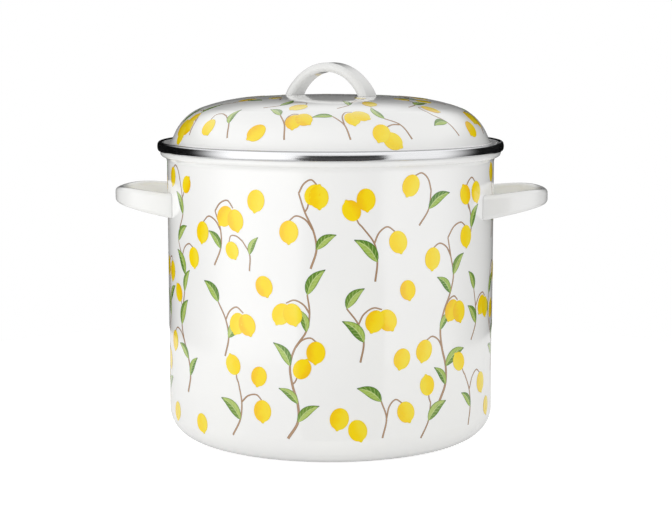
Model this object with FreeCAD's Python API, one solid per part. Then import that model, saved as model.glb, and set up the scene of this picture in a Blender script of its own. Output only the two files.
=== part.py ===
import FreeCAD, Part
import math
import os

# Water bath canner: an enamelled steel stock pot with a domed lid, and the wire rack that holds
# seven quart jars off its floor. Millimetres, +Z up, origin at the centre of the base.

V = FreeCAD.Vector
UP = V(0, 0, 1)
ALONG_Y = V(0, 1, 0)

# --- pot ---
POT_RADIUS = 157.5          # outside of the straight wall
SHEET = 1.2                 # steel with enamel on both sides
CORNER_RADIUS = 25.0        # outside of the bottom corner
FOOT_INNER_RADIUS = 112.0   # inner edge of the flat ring that the pot stands on
RECESS_RUN = 8.0            # width of the slope between that ring and the raised centre
RECESS = 1.2                # height of the raised centre
FLARE_START = 264.5         # where the wall turns outwards below the mouth
FLARE_BEND = 6.0
FLARE_ANGLE = 70.0
FLARE_RUN = 0.6
LIP_BEND = 3.0
LIP_HEIGHT = 9.2            # straight lip above the flare

# --- steel band rolled over the lip ---
BAND_SHEET = 0.6
BAND_INNER_LEG = 3.9

# --- lid ---
CROWN_TOP = 327.6
DOME_ARCS = ((1200.0, 3.7), (175.0, 15.2), (45.2, 47.6))   # radius, degrees turned
DOME_SIDE = 7.5             # straight run below the dome's arcs
LEDGE_BEND = 3.0
LEDGE_RUN = 4.1
SKIRT_BEND = 1.2
SKIRT_HEIGHT = 9.4

# --- side handles: hollow loops, flat in section, with round corners ---
HANDLE_ROOT = 140.0         # X where the loop starts, inside the wall
HANDLE_REACH = 209.2        # X of the tip
HANDLE_HALF_WIDTH = 60.0
HANDLE_SQUARENESS = 2.3     # 2 is half an ellipse, seen from above; more is squarer
HANDLE_BOTTOM = 211.5
HANDLE_TOP = 236.2
HANDLE_BOTTOM_RISE = 13.0   # rise of the lower edge towards the tip
HANDLE_TOP_RISE = 2.6       # rise of the upper edge towards the tip
HANDLE_ARCH = 1.8           # rise of the upper edge half way round
HANDLE_DEPTH = 9.5
HANDLE_WALL = 1.6
HANDLE_BEND = 4.2
HANDLE_STATIONS = 16

# --- lid handle: the same section, bent into an arch ---
ARCH_HALF_LENGTH = 42.0
ARCH_TOP = 358.4
ARCH_BASE = 320.0           # below the crown, trimmed to it
ARCH_WIDTH = 22.5
ARCH_FOOT_FLARE = 4.0
ARCH_DEPTH = 8.8
ARCH_WALL = 1.5
ARCH_BEND = 4.0
ARCH_STATIONS = 12
ARCH_TURN = -26.5           # degrees about +Z from the side handles' line

# --- jar rack ---
JAR_RADIUS = 48.0
JAR_PITCH = 100.3           # radius of the circle that the six outer jars stand on
JAR_COUNT = 6
WIRE = 4.0
RING_WIRE = 4.6
WELD = 0.3                  # how far crossing wires sink into each other
SPOKE_HEIGHT = 11.9
SPOKE_START = 26.0
SPOKE_END = 148.5
FLOOR_RINGS = (("rack_hub_ring", 28.0), ("rack_inner_ring", 80.0), ("rack_outer_ring", 121.0))
UPPER_RING_HEIGHT = 88.0
DIVIDER_TOP = 98.0
DIVIDER_INNER = JAR_PITCH / math.sqrt(3.0)    # the point between three neighbouring jars
DIVIDER_BEND = 8.0
JAR_GAP = 0.2
FOOT_RADII = (113.0, 129.0)
FOOT_BEND = 4.0
FLOOR_GAP = 0.05
EYE_RADIUS = 3.9            # centreline of a bail's eye
EYE_WIRE = 3.2
BAIL_X = 118.0
BAIL_Y = 62.0
BAIL_PIN_END = 73.0
BAIL_LENGTH = 150.0
BAIL_CORNER = 18.0
BAIL_PIN_BEND = 4.0
BAIL_LEAN = 8.0             # degrees outwards, resting against the pot's wall

HALF_SHEET = SHEET / 2.0
WALL_MID = POT_RADIUS - HALF_SHEET
RING_R = RING_WIRE / 2.0
WIRE_R = WIRE / 2.0
UPPER_RING_RADIUS = JAR_PITCH + JAR_RADIUS + JAR_GAP + RING_R
DIVIDER_OUTER = UPPER_RING_RADIUS - RING_R - WIRE_R + WELD
BASE_RING_HEIGHT = SPOKE_HEIGHT + WIRE_R + RING_R - WELD
FLOOR_RING_HEIGHT = SPOKE_HEIGHT + WIRE - WELD
EYE_HEIGHT = DIVIDER_TOP + WIRE_R + EYE_WIRE / 2.0 + EYE_RADIUS - WELD


def save(name, shape):
    """Write one node, which must be a valid closed solid."""
    if not shape.isValid() or len(shape.Solids) != 1:
        raise ValueError(name + " is not one valid solid")
    shape.Solids[0].exportStep("parts/" + name + ".step")


class SheetPath:
    """A mid-line in the XZ plane, drawn forwards as straight runs and tangent arcs."""

    def __init__(self, x, z, heading=0.0):
        self.x = x
        self.z = z
        self.heading = math.radians(heading)
        self.edges = []

    def point(self):
        return V(self.x, 0, self.z)

    def line_to(self, x, z):
        start = self.point()
        self.heading = math.atan2(z - self.z, x - self.x)
        self.x = x
        self.z = z
        self.edges.append(Part.makeLine(start, self.point()))

    def forward(self, length):
        self.line_to(self.x + length * math.cos(self.heading), self.z + length * math.sin(self.heading))

    def turn(self, radius, degrees):
        """An arc to the left when degrees is positive, and to the right when it is negative."""
        side = math.copysign(radius, degrees)
        start = self.point()
        centre_x = self.x - side * math.sin(self.heading)
        centre_z = self.z + side * math.cos(self.heading)
        points = []
        for share in (0.5, 1.0):
            heading = self.heading + math.radians(degrees) * share
            points.append(V(centre_x + side * math.sin(heading), 0, centre_z - side * math.cos(heading)))
        self.edges.append(Part.Arc(start, points[0], points[1]).toShape())
        self.heading += math.radians(degrees)
        self.x = points[1].x
        self.z = points[1].z

    def revolve(self, thickness):
        """The sheet of this mid-line, turned round the Z axis."""
        wire = Part.Wire(self.edges)
        ribbon = wire.makeOffset2D(thickness / 2.0, 0, False, True)
        other = wire.makeOffset2D(-thickness / 2.0, 0, False, True)
        ends = []
        for index in (0, -1):
            a = ribbon.OrderedVertexes[index].Point
            b = other.OrderedVertexes[index].Point
            if a.distanceToPoint(b) > thickness * 1.5:
                b = other.OrderedVertexes[-1 - index].Point
            ends.append(Part.makeLine(a, b))
        outline = Part.Wire(Part.__sortEdges__(ribbon.Edges + ends[:1] + other.Edges + ends[1:]))
        return Part.Face(outline).revolve(V(0, 0, 0), UP, 360.0)


def pot_shell():
    path = SheetPath(0, RECESS + HALF_SHEET)
    path.line_to(FOOT_INNER_RADIUS - RECESS_RUN, RECESS + HALF_SHEET)
    path.line_to(FOOT_INNER_RADIUS, HALF_SHEET)
    path.line_to(POT_RADIUS - CORNER_RADIUS, HALF_SHEET)
    path.turn(CORNER_RADIUS - HALF_SHEET, 90)
    path.line_to(WALL_MID, FLARE_START)
    path.turn(FLARE_BEND, -FLARE_ANGLE)
    path.forward(FLARE_RUN)
    path.turn(LIP_BEND, FLARE_ANGLE)
    path.forward(LIP_HEIGHT)
    return path.revolve(SHEET), path


def rim_band(lip):
    """The band stands on the inner face of the lip, goes over its top and bulges outside it."""
    inner = lip.x - HALF_SHEET - BAND_SHEET / 2.0
    path = SheetPath(inner, lip.z - BAND_INNER_LEG, 90)
    path.forward(BAND_INNER_LEG)
    path.turn(1.3, -90)
    path.turn(2.4, -70)
    path.turn(8.5, -40)
    path.turn(1.6, -50)
    path.forward(0.6)
    return path.revolve(BAND_SHEET)


def dome_path():
    path = SheetPath(0, CROWN_TOP - HALF_SHEET)
    for radius, degrees in DOME_ARCS:
        path.turn(radius, -degrees)
    return path


def lid_shell():
    path = dome_path()
    path.forward(DOME_SIDE)
    path.turn(LEDGE_BEND, -math.degrees(path.heading))
    path.forward(LEDGE_RUN)
    path.turn(SKIRT_BEND, -90)
    path.forward(SKIRT_HEIGHT)
    return path.revolve(SHEET)


def dome_solid():
    """Everything under the outside of the dome, to trim what stands on it."""
    path = SheetPath(0, CROWN_TOP)
    for radius, degrees in DOME_ARCS[:2]:
        path.turn(radius + HALF_SHEET, -degrees)
    path.line_to(path.x, ARCH_BASE - 20.0)
    path.line_to(0, ARCH_BASE - 20.0)
    path.line_to(0, CROWN_TOP)
    return Part.Face(Part.Wire(path.edges)).revolve(V(0, 0, 0), UP, 360.0)


def bar_section(place, out, across, width, depth, bend):
    """A closed outline with round corners. Its outer side is at the place, square to out."""
    arcs = []
    for degrees in (45.0, 135.0, 225.0, 315.0):
        side_out = math.copysign(1.0, math.cos(math.radians(degrees)))
        side_across = math.copysign(1.0, math.sin(math.radians(degrees)))
        centre = (place + out * (side_out * (depth / 2.0 - bend) - depth / 2.0)
                  + across * (side_across * (width / 2.0 - bend)))
        points = []
        for turn in (-45.0, 0.0, 45.0):
            angle = math.radians(degrees + turn)
            points.append(centre + out * (bend * math.cos(angle)) + across * (bend * math.sin(angle)))
        arcs.append(Part.Arc(*points).toShape())
    edges = []
    for arc, following in zip(arcs, arcs[1:] + arcs[:1]):
        edges.append(arc)
        edges.append(Part.makeLine(arc.Vertexes[-1].Point, following.Vertexes[0].Point))
    return Part.Wire(edges)


def hollow_bar(stations, across, depth, wall, bend):
    """A tube of that section through the stations, each a place, a way out and a width."""
    lofts = []
    for inset in (0.0, wall):
        sections = []
        for place, out, width in stations:
            sections.append(bar_section(place - out * inset, out, across, width - 2.0 * inset,
                                        depth - 2.0 * inset, bend - inset))
        lofts.append(Part.makeLoft(sections, True, False))
    return lofts[0].cut(lofts[1])


def side_handle():
    """The right-hand loop, seen from above as half of a squared ellipse."""
    stations = []
    reach = HANDLE_REACH - HANDLE_ROOT
    power = 2.0 / HANDLE_SQUARENESS
    for station in range(HANDLE_STATIONS + 1):
        turn = math.pi * station / HANDLE_STATIONS
        side = -math.copysign(1.0, math.cos(turn))
        ahead = max(math.sin(turn), 0.0)
        sideways = abs(math.cos(turn))
        share = ahead ** power
        low = HANDLE_BOTTOM + HANDLE_BOTTOM_RISE * share
        high = HANDLE_TOP + HANDLE_TOP_RISE * share + HANDLE_ARCH * math.sin(2.0 * turn) ** 2
        place = V(HANDLE_ROOT + reach * share, side * HANDLE_HALF_WIDTH * sideways ** power,
                  (low + high) / 2.0)
        out = V(ahead ** (2.0 - power) / reach, side * sideways ** (2.0 - power) / HANDLE_HALF_WIDTH, 0)
        stations.append((place, out.normalize(), high - low))
    loop = hollow_bar(stations, UP, HANDLE_DEPTH, HANDLE_WALL, HANDLE_BEND)
    wall = Part.makeCylinder(POT_RADIUS, FLARE_START)
    return max(loop.cut(wall).Solids, key=lambda solid: solid.Volume)


def lid_handle():
    stations = []
    rise = ARCH_TOP - ARCH_BASE
    for station in range(ARCH_STATIONS + 1):
        turn = math.pi * station / ARCH_STATIONS
        side = math.cos(turn)
        flare = ARCH_FOOT_FLARE * abs(side) ** 6
        place = V((ARCH_HALF_LENGTH + flare) * side, 0, ARCH_BASE + rise * math.sin(turn))
        out = V(side / ARCH_HALF_LENGTH, 0, math.sin(turn) / rise)
        stations.append((place, out.normalize(), ARCH_WIDTH + flare))
    arch = hollow_bar(stations, ALONG_Y, ARCH_DEPTH, ARCH_WALL, ARCH_BEND).cut(dome_solid())
    arch = max(arch.Solids, key=lambda solid: solid.Volume)
    arch.rotate(V(0, 0, 0), UP, ARCH_TURN)
    return arch


def bent_wire(points, bends, radius):
    """A round wire along straight runs, with one bend radius for each inner point."""
    edges = []
    start = points[0]
    for index, bend in enumerate(bends):
        corner = points[index + 1]
        back = (points[index] - corner).normalize()
        ahead = (points[index + 2] - corner).normalize()
        half = back.getAngle(ahead) / 2.0
        run = bend / math.tan(half)
        middle = (back + ahead).normalize() * (bend / math.sin(half) - bend)
        edges.append(Part.makeLine(start, corner + back * run))
        edges.append(Part.Arc(corner + back * run, corner + middle, corner + ahead * run).toShape())
        start = corner + ahead * run
    edges.append(Part.makeLine(start, points[-1]))
    section = Part.Wire(Part.makeCircle(radius, points[0], points[1] - points[0]))
    return Part.Wire(edges).makePipeShell([section], True, False)


def ring(radius, height, wire):
    return Part.makeTorus(radius, wire / 2.0, V(0, 0, height))


def radial(radius, degrees, height):
    angle = math.radians(degrees)
    return V(radius * math.cos(angle), radius * math.sin(angle), height)


def jar_rack():
    """The fixed wires of the rack, each cut where it is welded onto the ones before it."""
    nodes = {}
    nodes["rack_base_ring"] = ring(DIVIDER_OUTER, BASE_RING_HEIGHT, RING_WIRE)
    nodes["rack_upper_ring"] = ring(UPPER_RING_RADIUS, UPPER_RING_HEIGHT, RING_WIRE)
    for name, radius in FLOOR_RINGS:
        nodes[name] = ring(radius, FLOOR_RING_HEIGHT, WIRE)
    rings = list(nodes.values())
    floor_gap = SHEET + FLOOR_GAP + WIRE_R
    for index in range(JAR_COUNT):
        degrees = 30.0 + 360.0 * index / JAR_COUNT
        start = radial(SPOKE_START, degrees, SPOKE_HEIGHT)
        end = radial(SPOKE_END, degrees, SPOKE_HEIGHT)
        spoke = Part.makeCylinder(WIRE_R, SPOKE_END - SPOKE_START, start, end - start).cut(rings)
        nodes["rack_spoke_%d" % (index + 1)] = spoke

        points = [radial(DIVIDER_INNER, degrees, SPOKE_HEIGHT + WIRE_R - WELD),
                  radial(DIVIDER_INNER, degrees, DIVIDER_TOP),
                  radial(DIVIDER_OUTER, degrees, DIVIDER_TOP),
                  radial(DIVIDER_OUTER, degrees, BASE_RING_HEIGHT + RING_R - WELD)]
        divider = bent_wire(points, [DIVIDER_BEND, DIVIDER_BEND], WIRE_R).cut(rings + [spoke])
        nodes["rack_divider_%d" % (index + 1)] = divider

        if index % 2 == 0:
            inner, outer = FOOT_RADII
            top = SPOKE_HEIGHT - WIRE_R + WELD
            points = [radial(inner, degrees, top), radial(inner, degrees, floor_gap),
                      radial(outer, degrees, floor_gap), radial(outer, degrees, top)]
            foot = bent_wire(points, [FOOT_BEND, FOOT_BEND], WIRE_R).cut(spoke)
            nodes["rack_foot_%d" % (index // 2 + 1)] = foot

        side = math.cos(math.radians(degrees))
        if abs(side) > 0.1:
            x = math.copysign(BAIL_X, side)
            y = x * math.tan(math.radians(degrees))
            eye = Part.makeTorus(EYE_RADIUS, EYE_WIRE / 2.0, V(x, y, EYE_HEIGHT), ALONG_Y)
            nodes["rack_eye_%d" % (index + 1)] = eye.cut(divider)
    return nodes


def bail():
    """The right-hand bail, with its two pins in the eyes, leaning out on the pot's wall."""
    top = EYE_HEIGHT + BAIL_LENGTH
    points = [V(BAIL_X, -BAIL_PIN_END, EYE_HEIGHT), V(BAIL_X, -BAIL_Y, EYE_HEIGHT),
              V(BAIL_X, -BAIL_Y, top), V(BAIL_X, BAIL_Y, top),
              V(BAIL_X, BAIL_Y, EYE_HEIGHT), V(BAIL_X, BAIL_PIN_END, EYE_HEIGHT)]
    bends = [BAIL_PIN_BEND, BAIL_CORNER, BAIL_CORNER, BAIL_PIN_BEND]
    wire = bent_wire(points, bends, WIRE_R)
    wire.rotate(V(BAIL_X, 0, EYE_HEIGHT), ALONG_Y, BAIL_LEAN)
    return wire


def half_turn(shape):
    copy = shape.copy()
    copy.rotate(V(0, 0, 0), UP, 180.0)
    return copy


os.makedirs("parts", exist_ok=True)
shell, lip_end = pot_shell()
save("pot_shell", shell)
save("rim_band", rim_band(lip_end))
right = side_handle()
save("handle_right", right)
save("handle_left", half_turn(right))
save("lid_shell", lid_shell())
save("lid_handle", lid_handle())
for node, solid in jar_rack().items():
    save(node, solid)
right = bail()
save("bail_right", right)
save("bail_left", half_turn(right))
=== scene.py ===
import math
import random

import bmesh
import bpy
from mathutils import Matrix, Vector
from mathutils.bvhtree import BVHTree


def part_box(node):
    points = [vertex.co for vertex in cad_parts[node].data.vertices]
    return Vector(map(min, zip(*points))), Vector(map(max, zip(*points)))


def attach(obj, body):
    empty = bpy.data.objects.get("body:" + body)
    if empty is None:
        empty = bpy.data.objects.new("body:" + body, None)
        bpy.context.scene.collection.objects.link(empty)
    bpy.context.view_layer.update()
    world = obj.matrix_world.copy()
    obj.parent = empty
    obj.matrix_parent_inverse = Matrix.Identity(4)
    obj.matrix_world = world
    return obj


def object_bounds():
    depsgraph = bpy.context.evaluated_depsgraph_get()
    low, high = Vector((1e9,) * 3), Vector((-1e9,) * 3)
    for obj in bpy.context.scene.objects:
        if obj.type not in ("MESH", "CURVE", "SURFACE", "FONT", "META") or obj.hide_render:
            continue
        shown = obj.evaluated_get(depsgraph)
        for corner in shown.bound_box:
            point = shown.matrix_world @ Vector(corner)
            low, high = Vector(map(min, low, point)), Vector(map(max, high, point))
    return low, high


# A water bath canner in white enamel with a printed lemon pattern. The CAD nodes keep their shapes.
# This script gives them their materials, prints the pattern on the pot and the lid, and lights them.

MM = 0.001

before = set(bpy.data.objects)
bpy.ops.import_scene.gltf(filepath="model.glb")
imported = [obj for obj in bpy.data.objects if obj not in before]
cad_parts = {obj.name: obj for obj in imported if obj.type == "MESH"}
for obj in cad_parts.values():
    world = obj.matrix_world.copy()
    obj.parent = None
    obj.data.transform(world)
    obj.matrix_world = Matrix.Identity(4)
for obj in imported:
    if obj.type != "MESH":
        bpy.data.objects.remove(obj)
CAD_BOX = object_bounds()
POT_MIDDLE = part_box("pot_shell")[1].z / 2.0
BAND_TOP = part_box("rim_band")[1].z

# --- looks of the enamel and the metals ---
POT_LEVEL = 248                     # brightness on screen, up to 255
# The two handle levels are painted shade: the pot's own white enamel, made darker to stand in for the shade
# on the handles.
SIDE_HANDLE_SHADED_LEVEL = 240
LID_HANDLE_SHADED_LEVEL = 230
EDGE_SOFTENING = 1.2 * MM           # width over which light rounds the handles' small edges
KILN_RIPPLE = 0.06 * MM
ROLLING_LINES = 0.01 * MM
WIRE_GRAIN = 0.02 * MM
BAND_SEAM_SHADOW = (1.1 * MM, 0.6 * MM)    # painted shadow of the gap under the lid: the band darkens between these depths below its top

# --- the print ---
FRONT = math.radians(3.5)           # the camera and the pattern's middle stand this far round from -Y
PRINT_SINK = 0.12 * MM              # how deep a print's back lies in the enamel
PRINT_HEIGHT = {"twig": 0.06 * MM, "leaf": 0.12 * MM, "lemon": 0.18 * MM}
PRINT_STEP = 0.007 * MM             # one stroke over the one before it
PRINT_LAYERS = 8
chance = random.Random(5)

# --- the studio, in metres, degrees and watts ---
FLOOR_RADIUS = 0.62
FLOOR_DROP = 0.02 * MM
CARD_HEIGHT = 1.0 * MM
CARD_CORNERS = ((0.24, -9.0), (1.3, -18.0), (1.3, 39.0), (0.24, 26.0))     # reach, and how far round
LAMPS = (
    ("key", (-2.2, -1.3, 0.3), (1.8, 1.6), 14.0),
    ("fill", (1.3, -1.9, 1.1), (1.8, 1.4), 4.2),
    ("back", (-0.6, 2.2, 0.9), (1.6, 1.2), 6.0),
)
CAMERA_AWAY = 1.6
CAMERA_RIGHT = 5.2 * MM
CAMERA_HEIGHT = 382.7 * MM
CAMERA_TILT = 82.49                 # 90 is level
CAMERA_LENS = 88.6                  # millimetres, on a sensor 36 wide


def srgb(red, green, blue):
    """A colour given as 0 to 255 on screen."""
    linear = []
    for value in (red, green, blue):
        share = value / 255.0
        linear.append(share / 12.92 if share <= 0.04045 else ((share + 0.055) / 1.055) ** 2.4)
    return (*linear, 1.0)


class Nodes:
    """A node tree, with short calls for the nodes that this script uses."""

    def __init__(self, tree):
        self.tree = tree

    def add(self, kind, settings=None, **inputs):
        node = self.tree.nodes.new("ShaderNode" + kind)
        for key, value in (settings or {}).items():
            setattr(node, key, value)
        for key, value in inputs.items():
            self.feed(node.inputs[key.replace("_", " ")], value)
        return node

    def feed(self, socket, value):
        if isinstance(value, bpy.types.NodeSocket):
            self.tree.links.new(value, socket)
        else:
            socket.default_value = value

    def math(self, operation, first, second=0.0, third=0.0):
        node = self.add("Math", {"operation": operation})
        for socket, value in zip(node.inputs, (first, second, third)):
            self.feed(socket, value)
        return node.outputs[0]

    def times(self, first, second):
        return self.math("MULTIPLY", first, second)

    def step(self, value, low, high):
        """0 below low, 1 above high, smooth between; the other way round when low is the higher."""
        ends = (low, high, 0.0, 1.0) if low < high else (high, low, 1.0, 0.0)
        limits = dict(zip(("From_Min", "From_Max", "To_Min", "To_Max"), ends))
        return self.add("MapRange", {"interpolation_type": "SMOOTHSTEP"}, Value=value, **limits).outputs[0]


# ---------------------------------------------------------------- materials

class Shader(Nodes):
    """A new material."""

    def __init__(self, name):
        self.material = bpy.data.materials.new(name)
        self.material.use_nodes = True
        super().__init__(self.material.node_tree)
        self.surface = self.tree.nodes["Principled BSDF"]

    def set(self, **inputs):
        for key, value in inputs.items():
            self.feed(self.surface.inputs[key.replace("_", " ")], value)

    def place(self):
        return self.add("TexCoord").outputs["Object"]

    def split(self, vector):
        return self.add("SeparateXYZ", Vector=vector).outputs

    def noise(self, scale, detail, vector):
        return self.add("TexNoise", Scale=scale, Detail=detail, Vector=vector).outputs["Fac"]

    def mix(self, share, first, second):
        node = self.add("Mix", {"data_type": "RGBA"}, Factor=share)
        self.feed(node.inputs[6], first)        # a Mix node's sockets for colour: 6 and 7 in, 2 out
        self.feed(node.inputs[7], second)
        return node.outputs[2]

    def bump(self, height, distance, strength, soften=None):
        node = self.add("Bump", Height=height, Distance=distance, Strength=strength)
        if soften:
            rounded = self.add("Bevel", {"samples": 8}, Radius=soften)
            self.feed(node.inputs["Normal"], rounded.outputs["Normal"])
        self.feed(self.surface.inputs["Normal"], node.outputs["Normal"])

    def glaze(self, soften=None):
        """The glassy skin that all the enamel has, with a slow ripple from the kiln."""
        place = self.place()
        wear = self.noise(22.0, 3.0, place)
        self.set(Roughness=self.math("MULTIPLY_ADD", wear, 0.10, 0.08))
        self.set(Coat_Weight=0.35, Coat_Roughness=0.06, IOR=1.5)
        self.bump(self.noise(95.0, 1.0, place), KILN_RIPPLE, 0.6, soften)


def enamel(name, level, soften=None):
    """White, and very slightly uneven, with edges rounded over a width where soften is given."""
    shader = Shader(name)
    cloud = shader.step(shader.noise(6.0, 3.0, shader.place()), 0.3, 0.7)
    shade, light = srgb(level - 2, level - 2, level - 3), srgb(level + 2, level + 2, level)
    shader.set(Base_Color=shader.mix(cloud, shade, light))
    shader.glaze(soften)
    return shader.material


def stainless():
    """Polished steel band, with the fine lines of its rolling along it and a painted shadow line along its
    upper edge, where the lid sits on it.
    """
    shader = Shader("polished_stainless")
    place = shader.place()
    x, y, z = shader.split(place)
    squares = shader.math("ADD", shader.math("POWER", x, 2.0), shader.math("POWER", y, 2.0))
    radius = shader.math("SQRT", squares)
    lines = shader.add("CombineXYZ", X=shader.times(radius, 900.0), Y=shader.times(z, 900.0),
                       Z=shader.times(x, 6.0))
    grain = shader.noise(2.0, 2.0, lines.outputs[0])
    smear = shader.noise(30.0, 2.0, place)
    steel = shader.mix(grain, srgb(208, 209, 211), srgb(226, 226, 227))
    start, end = BAND_SEAM_SHADOW
    # Painted shadow: a grey line along the band's top edge stands in for the shade in the gap under the lid.
    edge = shader.step(z, BAND_TOP - start, BAND_TOP - end)
    shader.set(Base_Color=shader.mix(edge, steel, srgb(146, 146, 148)), Metallic=1.0)
    shader.set(Roughness=shader.math("MULTIPLY_ADD", smear, 0.12, 0.09))
    shader.bump(grain, ROLLING_LINES, 0.5)
    return shader.material


def chrome():
    """Bright plated wire, a little dulled by hot water."""
    shader = Shader("chromed_wire")
    place = shader.place()
    haze = shader.noise(40.0, 3.0, place)
    shader.set(Base_Color=shader.mix(haze, srgb(205, 208, 212), srgb(226, 227, 229)), Metallic=1.0)
    shader.set(Roughness=shader.math("MULTIPLY_ADD", haze, 0.22, 0.06))
    shader.bump(shader.noise(500.0, 1.0, place), WIRE_GRAIN, 0.4)
    return shader.material


class InkShader(Shader):
    """A printed colour, with each stroke's own coordinates. Across and along run from 0 to 1, and reach
    is the distance from its midline, up to 0.5. Tone, from 0 to 1, and flip, -1 or 1, vary by stroke."""

    def __init__(self, name):
        super().__init__(name)
        self.across, self.along, _ = self.split(self.add("UVMap", {"uv_map": "motif"}).outputs["UV"])
        self.tone, self.flip, _ = self.split(self.add("UVMap", {"uv_map": "shade"}).outputs["UV"])
        self.side = self.math("SUBTRACT", self.across, 0.5)
        self.reach = self.math("ABSOLUTE", self.side)

    def wash(self, scale, detail):
        """Uneven paint, from -0.25 to 0.25."""
        return self.math("MULTIPLY_ADD", self.noise(scale, detail, self.place()), 0.5, -0.25)

    def paint(self, base, *coats):
        """Lays coats, each a share and a colour, over a base, and glazes them."""
        for share, colour in coats:
            base = self.mix(share, base, colour)
        self.set(Base_Color=base)
        self.glaze()
        return self.material


def lemon_ink():
    """Washes of yellow: a pale lit side, a golden far side and edge, and a hint of green at the tip."""
    ink = InkShader("lemon_print")
    side = ink.math("ADD", ink.across, ink.wash(190.0, 3.0))
    gold = ink.times(ink.step(side, 0.45, 0.95), ink.step(ink.tone, 0.1, 0.7))
    pale = ink.times(ink.step(side, 0.75, 0.15), ink.step(ink.tone, 0.9, 0.25))
    tip = ink.times(ink.step(ink.along, 0.90, 0.99), 0.55)
    edge = ink.times(ink.step(ink.reach, 0.40, 0.5), 0.35)
    yellow = ink.mix(gold, srgb(254, 221, 6), srgb(250, 200, 12))
    return ink.paint(yellow,
                     (pale, srgb(252, 228, 52)),
                     (tip, srgb(196, 196, 40)),
                     (edge, srgb(240, 196, 30)))


def leaf_ink():
    """One dark and one light half, a pale midrib with side veins, and a dark edge and tip."""
    ink = InkShader("leaf_print")
    half = ink.step(ink.math("ADD", ink.times(ink.side, ink.flip), ink.wash(260.0, 2.0)), -0.10, 0.14)
    dark = ink.mix(ink.tone, srgb(84, 130, 44), srgb(118, 152, 64))
    light = ink.mix(ink.tone, srgb(156, 188, 78), srgb(184, 204, 112))
    slant = ink.math("SUBTRACT", ink.times(ink.along, 6.5), ink.times(ink.reach, 2.4))
    veins = ink.times(ink.step(ink.math("FRACT", slant), 0.24, 0.06), ink.step(ink.reach, 0.44, 0.36))
    edge = ink.times(ink.step(ink.reach, 0.36, 0.48), 0.75)
    midrib = ink.times(ink.step(ink.reach, 0.07, 0.02), 0.8)
    return ink.paint(ink.mix(half, dark, light),
                     (ink.times(veins, 0.65), srgb(196, 216, 136)),
                     (edge, srgb(84, 126, 46)),
                     (midrib, srgb(206, 222, 150)),
                     (ink.step(ink.along, 0.88, 1.0), srgb(60, 96, 52)))


def twig_ink():
    """Taupe brown, lighter along the middle of the stroke."""
    ink = InkShader("twig_print")
    uneven = ink.times(ink.noise(300.0, 2.0, ink.place()), ink.tone)
    brown = ink.mix(uneven, srgb(172, 138, 108), srgb(196, 162, 130))
    return ink.paint(brown, (ink.step(ink.reach, 0.20, 0.46), srgb(150, 118, 92)))


def dress_nodes():
    """Gives each CAD node's own faces their better material."""
    white = enamel("white_enamel", POT_LEVEL)
    # The handles get darker copies of the white enamel: painted shade, not a different enamel.
    side_handle = enamel("side_handle_shaded_enamel", SIDE_HANDLE_SHADED_LEVEL, EDGE_SOFTENING)
    lid_handle = enamel("lid_handle_shaded_enamel", LID_HANDLE_SHADED_LEVEL, EDGE_SOFTENING)
    wire = chrome()
    starts = (("rim_band", stainless()), ("rack_", wire), ("bail_", wire),
              ("handle_", side_handle), ("lid_handle", lid_handle))
    for name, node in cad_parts.items():
        material = next((material for start, material in starts if name.startswith(start)), white)
        node.data.materials.clear()
        node.data.materials.append(material)
        for face in node.data.polygons:
            face.material_index = 0


# ---------------------------------------------------------------- surfaces to print on

class Surface:
    """A CAD node that is round about Z. Artwork lies on it in metres along (to the right) and up."""

    def __init__(self, node):
        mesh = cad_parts[node].data
        corners = [vertex.co for vertex in mesh.vertices]
        self.tree = BVHTree.FromPolygons(corners, [face.vertices for face in mesh.polygons])
        self.low, self.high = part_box(node)

    def hit(self, start, way):
        return self.tree.ray_cast(start, way)[0]


class Wall(Surface):
    """The pot's upright wall. Home is (metres round from the front, height above the table)."""

    def __init__(self):
        super().__init__("pot_shell")
        middle = (self.low.z + self.high.z) / 2.0
        self.radius = abs(self.hit(Vector((0, -1, middle)), Vector((0, 1, 0))).y)

    def point(self, home, x, y):
        """The spot on the wall where (x, y) of the artwork falls, and the way out of the wall there."""
        angle = (home[0] + x) / self.radius
        out = Vector((math.sin(angle), -math.cos(angle), 0))
        start = out * 2.0 * self.radius
        start.z = home[1] + y
        return self.hit(start, -out), out


class Dome(Surface):
    """The lid's dome. Home is (degrees round from the front, distance from the crown along the dome)."""

    STEP = 1.0 * MM
    LEDGE = 6.0 * MM            # width of the lid's edge that isn't printed

    def __init__(self):
        super().__init__("lid_shell")
        self.rings = []         # each is (distance from the crown along the dome, radius, height)
        travelled, radius, last = 0.0, 0.0, None
        while radius < self.high.x - self.LEDGE:
            height = self.drop(radius, 0.0).z
            if last is not None:
                travelled += math.hypot(self.STEP, height - last)
            self.rings.append((travelled, radius, height))
            radius, last = radius + self.STEP, height

    def drop(self, x, y):
        return self.hit(Vector((x, y, self.high.z + 0.1)), Vector((0, 0, -1)))

    def ring(self, travelled):
        """Radius and slope of the dome at a distance from the crown."""
        travelled = min(max(travelled, self.rings[1][0]), self.rings[-2][0])
        index = max(i for i, ring in enumerate(self.rings) if ring[0] <= travelled)
        before, after = self.rings[index], self.rings[index + 1]
        share = (travelled - before[0]) / (after[0] - before[0])
        near = self.rings[max(index - 2, 0)]
        far = self.rings[min(index + 3, len(self.rings) - 1)]
        slope = math.atan2(near[2] - far[2], far[1] - near[1])
        return before[1] + (after[1] - before[1]) * share, slope

    def point(self, home, x, y):
        """The spot on the dome where (x, y) of the artwork falls, and the way out of the dome there."""
        radius, slope = self.ring(home[1] - y)
        angle = math.radians(home[0]) + x / self.ring(home[1])[0]
        across = Vector((math.sin(angle), -math.cos(angle), 0))
        spot = self.drop(across.x * radius, across.y * radius)
        return spot, across * math.sin(slope) + Vector((0, 0, math.cos(slope)))


# ---------------------------------------------------------------- ink

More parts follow.
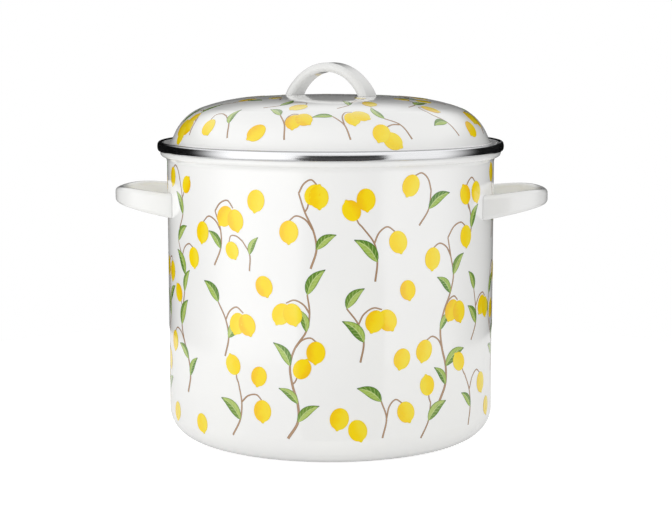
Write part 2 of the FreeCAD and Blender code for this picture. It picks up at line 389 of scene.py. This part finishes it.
class Ink:
    """All the strokes of one colour on one surface, as one mesh of thin closed slabs."""

    def __init__(self, name, body, surface, material):
        self.name = name
        self.body = body
        self.surface = surface
        self.material = material
        self.vertices = []
        self.normals = []
        self.faces = []
        self.motif = []
        self.shade = []
        self.strokes = 0

    def stroke(self, home, rows, height, shade):
        """rows: across each row, from the left of the stroke to its right, as (x, y) in metres."""
        height += self.strokes % PRINT_LAYERS * PRINT_STEP
        self.strokes += 1
        base = len(self.vertices)
        columns = len(rows[0])
        spots, outs, marks = [], [], []
        for index, row in enumerate(rows):
            for column, (x, y) in enumerate(row):
                spot, out = self.surface.point(home, x, y)
                spots.append(spot + out * height)
                outs.append(out)
                marks.append((column / (columns - 1), index / (len(rows) - 1)))
        count = len(spots)
        backs = [spot - out * (height + PRINT_SINK) for spot, out in zip(spots, outs)]
        self.vertices += spots + backs
        self.normals += outs + outs

        def face(corners):
            self.faces.append([base + corner for corner in corners])
            for corner in corners:
                self.motif.append(marks[corner % count])
                self.shade.append(shade)

        for first in range(0, count - columns, columns):
            for a in range(first, first + columns - 1):
                quad = [a, a + 1, a + columns + 1, a + columns]
                face(quad)
                face([count + corner for corner in reversed(quad)])
        rim = list(range(columns))
        rim += range(2 * columns - 1, count, columns)
        rim += range(count - 2, count - columns - 1, -1)
        rim += range(count - 2 * columns, 0, -columns)
        for first, second in zip(rim, rim[1:] + rim[:1]):
            face([second, first, count + first, count + second])

    def finish(self):
        mesh = bpy.data.meshes.new(self.name)
        mesh.from_pydata(self.vertices, [], self.faces)
        for key, values in (("motif", self.motif), ("shade", self.shade)):
            layer = mesh.uv_layers.new(name=key)
            layer.data.foreach_set("uv", [number for pair in values for number in pair])
        mesh.materials.append(self.material)
        for polygon in mesh.polygons:
            polygon.use_smooth = True
        mesh.normals_split_custom_set_from_vertices(self.normals)
        piece = bpy.data.objects.new(self.name, mesh)
        bpy.context.scene.collection.objects.link(piece)
        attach(piece, self.body)


# ---------------------------------------------------------------- the printed pattern

def smooth_line(points, steps=7):
    """A Catmull-Rom curve through the points."""
    ends = [points[0] * 2 - points[1], *points, points[-1] * 2 - points[-2]]
    line = []
    for a, b, c, d in zip(ends, ends[1:], ends[2:], ends[3:]):
        for step in range(steps):
            t = step / steps
            line.append(0.5 * (2 * b + (c - a) * t + (2 * a - 5 * b + 4 * c - d) * t * t
                               + (3 * b - a - 3 * c + d) * t ** 3))
    return line + [points[-1]]


def toward(heading):
    """One step along a heading, in degrees from the right."""
    angle = math.radians(heading)
    return Vector((math.cos(angle), math.sin(angle)))


class Sprig:
    """One group of the pattern, drawn in millimetres about its own origin."""

    COLUMNS = {"twig": 3, "leaf": 7, "lemon": 9}        # points across a stroke

    def __init__(self, inks, home, turn, size):
        self.inks = inks
        self.home = home
        self.turn = math.radians(turn)
        self.size = size * MM

    def place(self, spot):
        x, y = spot[0] * self.size, spot[1] * self.size
        return (x * math.cos(self.turn) - y * math.sin(self.turn),
                x * math.sin(self.turn) + y * math.cos(self.turn))

    def strip(self, kind, line, halves):
        """A stroke along a line, with a half width at each of its points."""
        columns = self.COLUMNS[kind]
        rows = []
        for index, spot in enumerate(line):
            before, after = line[max(index - 1, 0)], line[min(index + 1, len(line) - 1)]
            along = (after - before).normalized()
            across = Vector((along.y, -along.x))
            row = []
            for column in range(columns):
                share = 2.0 * column / (columns - 1) - 1.0
                row.append(self.place(spot + across * halves[index] * share))
            rows.append(row)
        shade = (chance.random(), chance.choice((-1.0, 1.0)))
        self.inks[kind].stroke(self.home, rows, PRINT_HEIGHT[kind], shade)

    def twig(self, *spots, thick=2.0, thin=1.1):
        """Through the spots, from its thick end to its thin one."""
        line = smooth_line([Vector(spot) for spot in spots])
        halves = [(thick + (thin - thick) * i / (len(line) - 1)) / 2.0 for i in range(len(line))]
        self.strip("twig", line, halves)

    def leaf(self, x, y, heading, length, width, bend):
        """Stands on (x, y) and points along its heading. Bend is its bow, as a share of its length."""
        steps, least = 12, 0.25
        ahead = toward(heading)
        beside = Vector((-ahead.y, ahead.x))
        line, halves = [], []
        for index in range(steps + 1):
            t = index / steps
            line.append(Vector((x, y)) + ahead * length * t + beside * length * bend * math.sin(math.pi * t))
            inside = 0 < t < 1
            halves.append(max(width / 2.0 * math.sin(math.pi * t ** 0.8) ** 0.9, least) if inside else least)
        self.strip("leaf", line, halves)

    def lemon(self, x, y, heading=-90.0, length=19.5, width=15.6):
        """Hangs from (x, y); the nub at its far end points along its heading."""
        body, nub_start, nub_width, least = 0.94, 0.84, 0.26, 0.3
        ahead = toward(heading)
        places = [body * (1.0 - math.cos(math.pi * i / 16)) / 2.0 for i in range(14)] + [0.93, 0.965, 1.0]
        line, halves = [], []
        for t in places:
            line.append(Vector((x, y)) + ahead * length * t)
            share = math.sqrt(max(1.0 - (2.0 * t / body - 1.0) ** 2, 0.0)) if t < body else 0.0
            if t > nub_start:
                past = (t - nub_start) / (1.0 - nub_start)
                share = max(share, nub_width * math.sqrt(max(1.0 - past ** 2, 0.0)))
            halves.append(max(width / 2.0 * share, least))
        self.strip("lemon", line, halves)

    # what grows from a stem at (x, y), to the right when side is 1 and to the left when it is -1

    def arm(self, x, y, side, pair=False):
        """A shoot that bends over, with one lemon or two hanging from it."""
        reach = chance.uniform(15.0, 22.0)
        crest = chance.uniform(9.0, 14.0)
        tip = (x + side * reach, y + crest - chance.uniform(2.0, 6.0))
        self.twig((x, y), (x + side * reach * 0.28, y + crest * 0.7),
                  (x + side * reach * 0.68, y + crest), tip, thick=1.4)
        if pair:
            self.lemon(tip[0] - side * 3.0, tip[1], -90.0 - side * chance.uniform(22.0, 34.0))
            self.lemon(tip[0], tip[1] - 1.0, -90.0 + side * chance.uniform(12.0, 22.0))
        else:
            self.lemon(tip[0], tip[1] + 0.5, -90.0 + side * chance.uniform(-4.0, 12.0))

    def pair(self, x, y, side):
        self.arm(x, y, side, pair=True)

    def bud(self, x, y, side):
        """A smaller lemon that stands up on a short shoot."""
        lean = chance.uniform(18.0, 34.0)
        self.twig((x, y), (x + side * 2.2, y + 3.2), (x + side * 3.2, y + 6.5), thick=1.3)
        self.lemon(x + side * 3.2, y + 6.0, 90.0 - side * lean, 18.5, 14.5)

    def blade(self, x, y, side):
        """A leaf straight from the stem."""
        lift = chance.uniform(28.0, 62.0)
        length = chance.uniform(19.0, 27.0)
        self.leaf(x, y, 90.0 - side * lift, length, length * chance.uniform(0.33, 0.41), side * 0.12)

    def grow(self, items):
        """A stem from the origin upwards. Each letter is what it bears there: a capital on the right."""
        bears = {"a": self.arm, "p": self.pair, "b": self.bud, "l": self.blade}
        step, sway = 15.0, 6.0
        spots = []
        for index in range(len(items) + 1):
            spots.append((sway * math.sin(1.15 * index) + chance.uniform(-1.0, 1.0), step * index))
        self.twig(*spots, thick=1.2 + 0.14 * len(items), thin=1.2)
        for (x, y), letter in zip(spots[1:], items):
            bears[letter.lower()](x, y, 1 if letter.isupper() else -1)

    def draw(self, items):
        if items:
            self.grow(items)
        else:
            self.lemon(0, 10)


# Letters: a, an arm with a hanging lemon; p, one with a pair; b, a standing lemon; l, a leaf.
# No letters: a lemon on its own. They go from a stem's foot upwards.

# The wall. Each row: letters, millimetres right of the half's middle, height above the table, turn in
# degrees, size. The transfer covers half of the wall, and is put on twice.
HALF_WRAP = (
    ("LaP", -226, 28, 4, 1.05),
    ("lLbA", -214, 104, -8, 1.05),
    ("LbL", -226, 198, 6, 1.1),
    ("LlaLbLlAL", -158, 54, 5, 1.05),
    ("", -134, 28, 14, 1.0),
    ("", -184, 30, -8, 1.0),
    ("lBa", -172, 206, -4, 1.0),
    ("LPl", -102, 96, 8, 1.1),
    ("laP", -114, 178, -4, 1.1),
    ("lAb", -94, 24, -10, 1.1),
    ("", -68, 238, -8, 1.1),
    ("LlBlAlpL", -38, 26, -7, 1.1),
    ("LaBA", -18, 180, 3, 1.12),
    ("", -60, 162, 20, 1.05),
    ("La", -74, 176, 24, 0.9),
    ("", -66, 80, -12, 1.0),
    ("lPL", 28, 96, 14, 1.12),
    ("", 8, 44, -12, 1.1),
    ("", 25, 33, 18, 1.1),
    ("lAb", 40, 168, 10, 1.12),
    ("", 32, 240, 6, 1.1),
    ("", 66, 96, -16, 1.05),
    ("Al", 48, 26, 12, 1.1),
    ("lLaLPlLaA", 108, 52, -5, 1.12),
    ("Lb", 86, 22, -10, 1.1),
    ("La", 84, 216, -14, 1.1),
    ("", 72, 158, 12, 1.0),
    ("lAb", 150, 24, 6, 1.1),
    ("lPl", 154, 104, -8, 1.05),
    ("LbA", 146, 192, 4, 1.1),
    ("lLBlLA", 212, 64, 8, 1.05),
    ("", 192, 34, 10, 1.0),
    ("lAb", 206, 194, -6, 1.05),
)

# The lid, in rings. Each row: how many sprigs, how far the first stands round as a share of the step
# between two, millimetres down the dome from its crown, size, and the drawings, used in turn.
LID_RINGS = (
    (16, 0.30, 160, 1.05, ("Pl", "aL", "lA", "pL", "La")),
    (8, 0.40, 154, 1.05, ("",)),
    (10, 0.10, 114, 1.0, ("lA", "Lb", "bL")),
    (7, 0.30, 80, 0.9, ("b", "A", "L")),
)
LID_TURN = (25.0, 55.0)             # how far a sprig of the lid leans to one side, in degrees


def decorate_wall(inks, wall):
    for half in (0, 1):
        middle = (half * math.pi + FRONT) * wall.radius
        for items, along, up, turn, size in HALF_WRAP:
            Sprig(inks, (middle + along * MM, up * MM), turn, size).draw(items)


def decorate_lid(inks, dome):
    for count, shift, down, size, drawings in LID_RINGS:
        for index in range(count):
            around = math.degrees(FRONT) + 360.0 * (index + shift) / count
            turn = chance.choice((-1.0, 1.0)) * chance.uniform(*LID_TURN)
            Sprig(inks, (around, down * MM), turn, size).draw(drawings[index % len(drawings)])


def print_on(body, surface, materials, decorate):
    """One mesh for each colour of ink."""
    inks = {kind: Ink("%s_%s_print" % (body, kind), body, surface, ink) for kind, ink in materials.items()}
    decorate(inks, surface)
    for ink in inks.values():
        ink.finish()


# ---------------------------------------------------------------- studio

def stage(name, mesh, shader):
    """Stands a thing in the studio that isn't part of the object."""
    mesh.materials.append(shader.material)
    thing = bpy.data.objects.new(name, mesh)
    bpy.context.scene.collection.objects.link(thing)
    return thing


def floor():
    """A pale round table top that glows a little, so that it meets the white backdrop without an edge."""
    mesh = bpy.data.meshes.new("floor")
    builder = bmesh.new()
    bmesh.ops.create_circle(builder, cap_ends=True, segments=128, radius=FLOOR_RADIUS)
    builder.to_mesh(mesh)
    builder.free()
    shader = Shader("floor_white")
    grain = shader.noise(3.0, 2.0, shader.place())
    shader.set(Base_Color=shader.mix(grain, srgb(226, 226, 226), srgb(232, 232, 232)), Roughness=0.9)
    seen = shader.add("LightPath").outputs["Is Camera Ray"]
    glow = shader.math("MULTIPLY_ADD", seen, 0.56, 0.12)
    shader.set(Specular_IOR_Level=0.0, Emission_Color=srgb(255, 255, 255), Emission_Strength=glow)
    stage("floor", mesh, shader).location.z = CAD_BOX[0].z - FLOOR_DROP


def front_card():
    """A dark card on the table in front, which only gloss sees: it draws the grey bar on the steel band."""
    corners = []
    for reach, degrees in CARD_CORNERS:
        angle = math.radians(degrees)
        corners.append((reach * math.sin(angle), -reach * math.cos(angle), CAD_BOX[0].z + CARD_HEIGHT))
    mesh = bpy.data.meshes.new("front_card")
    mesh.from_pydata(corners, [], [(0, 1, 2, 3)])
    shader = Shader("card_grey")
    shader.set(Base_Color=srgb(64, 62, 62), Roughness=0.9)
    card = stage("front_card", mesh, shader)
    card.visible_camera = False
    card.visible_diffuse = False
    card.visible_shadow = False


class Backdrop(Nodes):
    """The world: white to look at, even for soft light, and with dark boards in what gloss reflects.
    Right, back and up are the parts of a direction one long."""

    def __init__(self):
        world = bpy.data.worlds.new("studio")
        bpy.context.scene.world = world
        world.use_nodes = True
        super().__init__(world.node_tree)
        self.ray = self.add("LightPath").outputs
        way = self.add("SeparateXYZ", Vector=self.add("TexCoord").outputs["Generated"])
        self.right, self.back, self.up = way.outputs

    def glow(self, strength):
        return self.add("Background", Color=(1.0, 1.0, 1.0, 1.0), Strength=strength).outputs[0]

    def choose(self, share, first, second):
        node = self.add("MixShader")
        for socket, value in zip(node.inputs, (share, first, second)):
            self.feed(socket, value)
        return node.outputs[0]

    def boards(self):
        """How dark the boards are: one across the back, further round on the left, and a low one in front."""
        skew = self.math("MULTIPLY_ADD", self.right, -0.14, self.back)
        behind = self.times(self.step(skew, -0.34, 0.34), self.step(self.up, 0.58, 0.28))
        round_front = self.math("DIVIDE", self.right, self.times(self.back, -1.0))
        wide = self.times(self.step(round_front, -0.36, -0.20), self.step(round_front, 0.95, 0.70))
        tall = self.times(self.step(self.up, -0.75, -0.60), self.step(self.up, 0.30, 0.18))
        ahead = self.times(self.times(wide, tall), self.step(self.back, -0.3, -0.5))
        return self.math("MAXIMUM", behind, self.times(ahead, 0.96))

    def window(self):
        """1 in the soft bright patch that gloss sees at the front left."""
        across = self.times(self.step(self.right, -0.10, -0.55), self.step(self.back, 0.10, -0.25))
        return self.times(across, self.step(self.up, 0.95, 0.50))

    def build(self, overhead, around, shine, window, ceiling):
        """Overhead and around are for diffuse light. Shine, window and ceiling are for gloss."""
        light = self.math("MULTIPLY_ADD", self.step(self.up, 0.85, 0.15), around - overhead, overhead)
        panels = self.math("MULTIPLY_ADD", self.window(), window - shine, shine)
        panels = self.math("MULTIPLY_ADD", self.step(self.up, 0.60, 0.85), ceiling - shine, panels)
        glossy = self.glow(self.times(self.math("SUBTRACT", 1.0, self.boards()), panels))
        light = self.choose(self.ray["Is Glossy Ray"], self.glow(light), glossy)
        seen = self.choose(self.ray["Is Camera Ray"], light, self.glow(1.0))
        self.feed(self.tree.nodes["World Output"].inputs["Surface"], seen)


def soft_light(name, place, size, watts):
    """A wide lamp that points at the pot's middle, and that gloss doesn't see."""
    lamp = bpy.data.lights.new(name, "AREA")
    lamp.shape = "RECTANGLE"
    lamp.size, lamp.size_y = size
    lamp.energy = watts
    thing = bpy.data.objects.new(name, lamp)
    thing.location = place
    thing.rotation_mode = "QUATERNION"
    target = Vector((0.0, 0.0, POT_MIDDLE))
    thing.rotation_quaternion = (target - thing.location).to_track_quat("-Z", "Y")
    thing.visible_glossy = False
    bpy.context.scene.collection.objects.link(thing)


def camera():
    """In front, a little above the lid, and tipped down."""
    lens = bpy.data.cameras.new("camera")
    lens.sensor_width = 36.0
    lens.lens = CAMERA_LENS
    lens.clip_start = 0.05
    thing = bpy.data.objects.new("camera", lens)
    thing.location = (CAMERA_RIGHT * math.cos(FRONT) + CAMERA_AWAY * math.sin(FRONT),
                      CAMERA_RIGHT * math.sin(FRONT) - CAMERA_AWAY * math.cos(FRONT), CAMERA_HEIGHT)
    thing.rotation_euler = (math.radians(CAMERA_TILT), 0.0, FRONT)
    bpy.context.scene.collection.objects.link(thing)
    bpy.context.scene.camera = thing


dress_nodes()
prints = {"twig": twig_ink(), "leaf": leaf_ink(), "lemon": lemon_ink()}
print_on("pot", Wall(), prints, decorate_wall)
print_on("lid", Dome(), prints, decorate_lid)
floor()
front_card()
Backdrop().build(overhead=0.68, around=0.92, shine=1.2, window=1.5, ceiling=1.3)
for settings in LAMPS:
    soft_light(*settings)
camera()
bpy.context.scene.view_settings.view_transform = "Standard"
